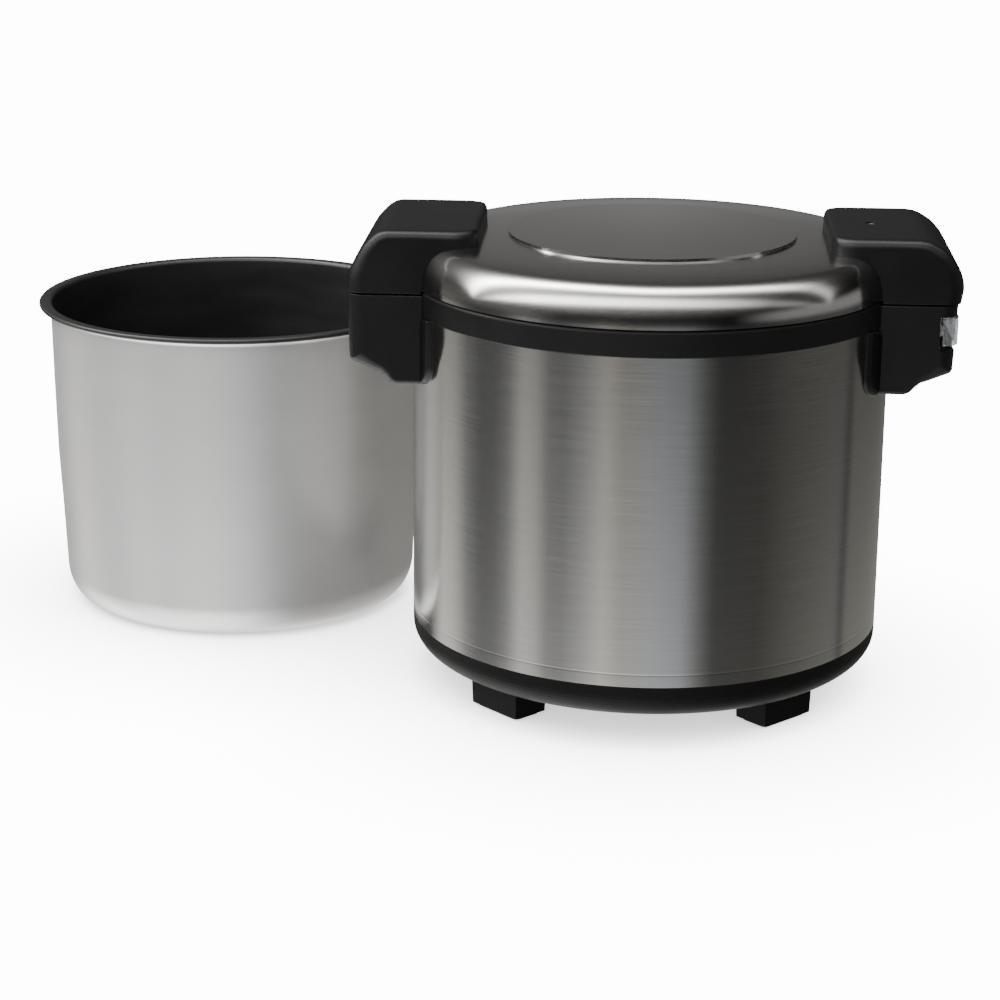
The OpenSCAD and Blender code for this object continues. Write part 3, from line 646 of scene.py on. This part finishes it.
def saddle(name, side, half_y):
    """Flange that hugs the drum beside and under a housing."""
    corner, edge = 16.0, 2.2
    z_mid = (HOUSING_Z0 + SHELL_Z1) / 2
    hidden_r, edge_r = BODY_R - 1.0, BODY_R + 1.2

    def loop(inset, shrink=1.0):
        points = [(half_y - inset, SHELL_Z1), (inset - half_y, SHELL_Z1)]
        for side_y, start in ((-1, 180), (1, 270)):
            points += arc(side_y * (half_y - corner), HOUSING_Z0 + corner, corner - inset, corner - inset,
                          start, start + 90, 10)
        return [(y * shrink, z_mid + (z - z_mid) * shrink) for y, z in points]

    stack = [(hidden_r, loop(0)), (edge_r, loop(0))]
    for k in range(1, 7):
        a = math.pi / 2 * k / 6
        stack.append((edge_r + edge * math.sin(a), loop(edge * (1 - math.cos(a)))))
    stack += [(edge_r + edge, loop(edge, shrink)) for shrink in (0.8, 0.6, 0.4, 0.2)]
    verts, faces = [], []
    n = len(stack[0][1])
    for radius, points in stack:
        verts += [(side * math.sqrt(radius**2 - y**2), y, z) for y, z in points]
    for k in range(len(stack) - 1):
        for i in range(n):
            j = (i + 1) % n
            faces.append((k * n + i, k * n + j, (k + 1) * n + j, (k + 1) * n + i))
    faces.append(tuple((len(stack) - 1) * n + i for i in range(n)))
    return piece(name, verts, faces, black_plastic)


rear_housing = block("rear_housing_block", mirrored(housing_line), HALF_W, black_plastic)
slots = [box("slot", (-220.6, s * 40 - 1.9, 305), (-204.6, s * 40 + 1.9, 330)) for s in (-1, 1)]
cut(rear_housing, drum_cutter(), *slots)
settle(rear_housing, "cooker", "rear_housing", slot="black_plastic")
rear_saddle = saddle("rear_housing_saddle", -1, 83.0)
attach(rear_saddle, "cooker")

control_housing = block("control_housing_block", housing_line, HALF_W, black_plastic)
recess = box("recess", (211, -100, 276), (260, 100, 302.5))
cut(control_housing, drum_cutter(), recess)
settle(control_housing, "cooker", "control_housing", slot="black_plastic")
front_saddle = saddle("control_housing_saddle", 1, 90.0)
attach(front_saddle, "cooker")

# ---------- pot ----------

POT_LIP_R = 158.2  # the lining covers the lip from here outwards
pot_line = (
    [(0, 0.4), (127.3, 0)] + arc(127.3, 28, 20, 28, -90, 0, 24)
    + [(149.2, 77), (151.5, 126), (152.5, 190), (153, 240)]
    + arc(155.6, 244.6, 2.6, 3.8, 180, 110, 6)
    + arc(160.3, 251, 2, 2, -90, 90, 12)
    + arc(155.4, 249.2, 3.8, 3.8, 90, 175, 8)
    + [(150.9, 240), (150.5, 190), (149.5, 126), (147.2, 77)]
    + arc(127.3, 28, 18, 26, 0, -90, 24)
    + [(0, 2.2)]
)
pot = revolve("pot_spun", pot_line, pot_satin, 256,
              (pot_centre[0] / MM, pot_centre[1] / MM), crease=50)
pot.data.materials.append(pot_lining)
for face in pot.data.polygons:
    out = Vector((face.center.x - pot_centre[0], face.center.y - pot_centre[1], 0))
    inward = out.length > 1e-4 and face.normal.dot(out.normalized()) < -0.1
    on_lip = out.length > POT_LIP_R * MM
    if inward or on_lip or face.normal.z > 0.25:
        face.material_index = 1
settle(pot, "pot", "inner_pot", slot="pot_aluminium")

# ---------- thermostat spring, a still copy on a mesh of its own; the real coil shortens with the press ---

cad_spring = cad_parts["sensor_spring"]
coil = bpy.data.objects.new("thermostat_coil", cad_spring.data.copy())
coil.matrix_world = cad_spring.matrix_world.copy()
bpy.context.scene.collection.objects.link(coil)
coil.data.materials.clear()
coil.data.materials.append(spring_steel)
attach(coil, "cooker")
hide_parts("sensor_spring")
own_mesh(coil)

# ---------- finishes of the carried-over pieces ----------

finishes = {
    black_plastic: ["lid_rim", "switch_body", "cord_gland"],
    base_plastic: ["base_pan", "feet"],
    bezel_plastic: ["switch_bezel"],
    rubber: ["foot_pads"],
    screw_steel: ["base_screws", "housing_screws", "handle_nuts", "guard_pin", "hinge_pin",
                  "plate_standoffs"],
    brass_screw: ["handle_screws"],
    liner_turned: ["well_liner"],
    liner_steel: ["heat_shield", "hinge_bracket", "sensor_housing"],
    glass_wool: ["body_insulation", "lid_insulation"],
    cast_metal: ["heater_plate", "sensor_plunger"],
    dark_sheath: ["heating_element"],
    ceramic: ["thermal_fuse", "terminal_block"],
    red_wire: ["wire_harness"],
    white_plastic: ["rocker_switch"],
    lamp_lens: ["pilot_lamp"],
    clear_guard: ["switch_guard"],
    inner_metal: ["lid_inner_plate"],
    silicone: ["lid_gasket"],
}
for finish, names in finishes.items():
    for name in names:
        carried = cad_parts[name]
        carried.data.materials.clear()
        carried.data.materials.append(finish)

# ---------- studio ----------

WHITE = 14.0  # strength of what shows as pure white
NEUTRAL, WARM, COOL, PINK = (1, 1, 1), (1, 0.97, 0.9), (0.93, 0.98, 1.04), (1.02, 0.98, 0.95)
KEY_DIRECTION = (-0.82, -0.45, 0.352)

# Panels below eye level: degrees round from the front, brightness, colour.
LOW_PANELS = (
    (-180, 0.06, NEUTRAL), (-150, 0.06, WARM), (-140, 0.02, NEUTRAL), (-131, 0.03, NEUTRAL),
    (-124, 0.4, NEUTRAL), (-118, 0.8, WARM), (-107, 0.62, WARM), (-97, 0.22, NEUTRAL),
    (-88, 0.11, NEUTRAL), (-78, 0.12, NEUTRAL), (-70, 0.22, NEUTRAL), (-62, 0.56, PINK),
    (-55, 0.46, PINK), (-48, 0.2, NEUTRAL), (-40, 0.19, NEUTRAL), (-30, 0.32, NEUTRAL),
    (-20, 0.55, WARM), (-11, 0.38, WARM), (6, 0.38, COOL), (18, 0.33, COOL), (27, 0.14, NEUTRAL),
    (34, 0.06, NEUTRAL), (58, 0.055, WARM), (82, 0.11, WARM), (102, 0.15, WARM), (108, 0.15, NEUTRAL),
    (113, 0.07, NEUTRAL), (118, 0.18, WARM), (150, 0.21, WARM), (180, 0.24, NEUTRAL),
)
# How much of them is left, from straight down at 0 to level at 1.
LOW_SHARE = (
    (0.0, 1.0), (0.4, 0.85), (0.6, 0.5), (0.66, 0.34), (0.72, 0.22), (0.78, 0.125), (0.84, 0.045), (1.0, 0.02),
)
# Panels overhead: degrees up from the front, over the top and down behind, and brightness.
HIGH_PANELS = (
    (0, 0.006), (11, 0.009), (23, 0.018), (30, 0.09), (35, 0.36), (46, 0.36), (52, 0.16), (58, 0.05),
    (65, 0.05), (72, 0.25), (78, 0.9), (88, 0.9), (93, 0.36), (101, 0.06), (112, 0.018), (124, 0.008),
    (145, 0.006), (158, 0.009), (166, 0.0145), (170, 0.024), (174, 0.07), (180, 0.12),
)
# How much of them is left, from the left at 0 to the right at 1.
HIGH_SHARE = ((0.0, 0.5), (0.1, 0.95), (0.5, 0.5), (0.75, 0.22), (0.9, 0.055), (1.0, 0.05))


def grey(tree, value):
    return node(tree, "CombineXYZ", {i: value for i in range(3)}).outputs[0]


def scaled(tree, vector, factor):
    return node(tree, "VectorMath", {0: vector, 3: factor}, operation="SCALE").outputs[0]


def added(tree, a, b):
    return node(tree, "VectorMath", {0: a, 1: b}, operation="ADD").outputs[0]


def mixed_colour(tree, factor, a, b):
    return node(tree, "Mix", {0: factor, 6: a, 7: b}, data_type="RGBA").outputs[2]


def low_surround(tree, x, z, front):
    """Side panels below eye level, and the floor's glow, which is stronger on the left."""
    turn = span(tree, maths(tree, "ARCTAN2", x, front), -math.pi, math.pi, smooth=False)
    stops = [((degrees + 180) / 360, tuple(value * c for c in colour)) for degrees, value, colour in LOW_PANELS]
    panels = ramp(tree, turn, stops)
    share = ramp(tree, span(tree, z, -1.0, 0.0, smooth=False), LOW_SHARE)
    panels = scaled(tree, panels, maths(tree, "MULTIPLY", share, 4.0))
    glow = maths(tree, "MULTIPLY", span(tree, z, -0.34, -0.75, 0.0, 2.0), span(tree, x, -0.3, 0.6, 1.0, 0.04))
    return added(tree, panels, grey(tree, glow))


def high_surround(tree, x, z, front):
    """Long overhead panels, which bend forwards at their ends."""
    straight = maths(tree, "ARCTAN2", z, front)
    bend = maths(tree, "MULTIPLY", maths(tree, "ABSOLUTE", x),
                 span(tree, straight, math.radians(50), math.radians(90), 0.0, math.radians(19)))
    sweep = span(tree, maths(tree, "SUBTRACT", straight, bend), 0.0, math.pi, smooth=False)
    panels = ramp(tree, sweep, [(degrees / 180, value) for degrees, value in HIGH_PANELS])
    share = ramp(tree, span(tree, x, -1.0, 1.0, smooth=False), HIGH_SHARE)
    fade = span(tree, z, 0.0, 0.3, 0.15, 1.0)
    strength = maths(tree, "MULTIPLY", maths(tree, "MULTIPLY", share, fade), 24.0)
    return scaled(tree, panels, strength)


def side_glow(tree, x, z):
    """Soft light at both ends, only near eye level."""
    level = maths(tree, "MULTIPLY", span(tree, maths(tree, "ABSOLUTE", x), 0.6, 0.95),
                  span(tree, x, -1.0, 1.0, 0.1, 0.32))
    near_level = span(tree, maths(tree, "ABSOLUTE", z), 0.05, 0.22, 1.0, 0.0)
    return grey(tree, maths(tree, "MULTIPLY", level, near_level))


def studio_light():
    """Panels for reflections, a soft key for matt surfaces, and white where the camera looks."""
    world = bpy.data.worlds.new("studio")
    bpy.context.scene.world = world
    world.use_nodes = True
    tree = world.node_tree
    tree.nodes.clear()
    way = node(tree, "TexCoord").outputs["Generated"]
    x, y, z = node(tree, "SeparateXYZ", {0: way}).outputs
    front = maths(tree, "MULTIPLY", y, -1.0)
    rise = span(tree, z, -0.06, 0.05)
    around = mixed_colour(tree, rise, low_surround(tree, x, z, front), high_surround(tree, x, z, front))
    around = added(tree, around, side_glow(tree, x, z))
    path = node(tree, "LightPath").outputs
    facing = node(tree, "VectorMath", {0: way, 1: KEY_DIRECTION}, operation="DOT_PRODUCT").outputs["Value"]
    soft_key = grey(tree, span(tree, facing, -0.1, 1.0, 0.06, 3.2))
    lit = node(tree, "Background", {0: mixed_colour(tree, path["Is Diffuse Ray"], around, soft_key), 1: 1.0})
    white = node(tree, "Background", {0: (1, 1, 1, 1), 1: WHITE})
    both = node(tree, "MixShader", {0: path["Is Camera Ray"], 1: lit.outputs[0], 2: white.outputs[0]})
    output = node(tree, "OutputWorld")
    tree.links.new(both.outputs[0], output.inputs[0])


def pale_floor():
    """White glow where the camera looks, with a painted contact shadow right under the object (ambient
    occlusion dims the glow), and pale matt for everything else.
    """
    made = bpy.data.materials.new("pale_floor")
    made.use_nodes = True
    tree = made.node_tree
    tree.nodes.clear()
    # painted contact shadow: ambient occlusion dims the floor's camera-ray glow near the object
    closed = node(tree, "AmbientOcclusion", {"Distance": 0.22}, samples=8).outputs["AO"]
    painted_shadow_mask = maths(tree, "POWER", closed, 1.6)
    brightness = span(tree, painted_shadow_mask, 0.0, 1.0, 1.0, WHITE, smooth=False)
    glow = node(tree, "Emission", {0: (1, 1, 1, 1), 1: brightness})
    speckle = noise(tree, node(tree, "TexCoord").outputs["Object"], 40.0)
    matt = node(tree, "BsdfDiffuse", {0: tint(tree, speckle, (0.5, 0.5, 0.5), (0.54, 0.54, 0.54))})
    seen = node(tree, "LightPath").outputs["Is Camera Ray"]
    mixed = node(tree, "MixShader", {0: seen, 1: matt.outputs[0], 2: glow.outputs[0]})
    output = node(tree, "OutputMaterial")
    tree.links.new(mixed.outputs[0], output.inputs[0])
    mesh = bpy.data.meshes.new("floor")
    reach = 14
    corners = [(-reach, -reach, 0), (reach, -reach, 0), (reach, reach, 0), (-reach, reach, 0)]
    mesh.from_pydata(corners, [], [(0, 1, 2, 3)])
    mesh.materials.append(made)
    floor = bpy.data.objects.new("floor", mesh)
    bpy.context.scene.collection.objects.link(floor)
    floor.visible_glossy = False
    floor.location.z = -0.0002


def panel(name, place, aim, width, height, power, colour):
    """Area light that reflections don't show."""
    light = bpy.data.lights.new(name, "AREA")
    light.shape = "RECTANGLE"
    light.size, light.size_y = width, height
    light.energy = power
    light.color = colour
    made = bpy.data.objects.new(name, light)
    made.location = place
    made.rotation_mode = "QUATERNION"
    made.rotation_quaternion = (Vector(aim) - Vector(place)).to_track_quat("-Z", "Y")
    made.visible_glossy = False
    bpy.context.scene.collection.objects.link(made)


studio_light()
pale_floor()
panel("front_fill", (-0.9, -2.2, 1.5), (-0.2, 0, 0.15), 1.6, 1.2, 8, (1, 0.985, 0.97))


def photo_camera():
    """The photo's camera, solved from the drum's edges: its place, its turns in radians and its lens."""
    place = (0, -1.9255, 0.7242)
    pitch, yaw, roll = 0.2969, -0.0587, 0.0082
    flat = math.cos(pitch)
    forward = Vector((math.sin(yaw) * flat, math.cos(yaw) * flat, -math.sin(pitch)))
    level = Vector((math.cos(yaw), -math.sin(yaw), 0))
    rise = level.cross(forward)
    right = math.cos(roll) * level + math.sin(roll) * rise
    up = -math.sin(roll) * level + math.cos(roll) * rise
    data = bpy.data.cameras.new("camera")
    data.lens, data.sensor_width = 93.27, 36.0
    made = bpy.data.objects.new("camera", data)
    turn = Matrix((right, up, -forward)).transposed()
    made.matrix_world = Matrix.Translation(place) @ turn.to_4x4()
    bpy.context.scene.collection.objects.link(made)
    bpy.context.scene.camera = made


photo_camera()
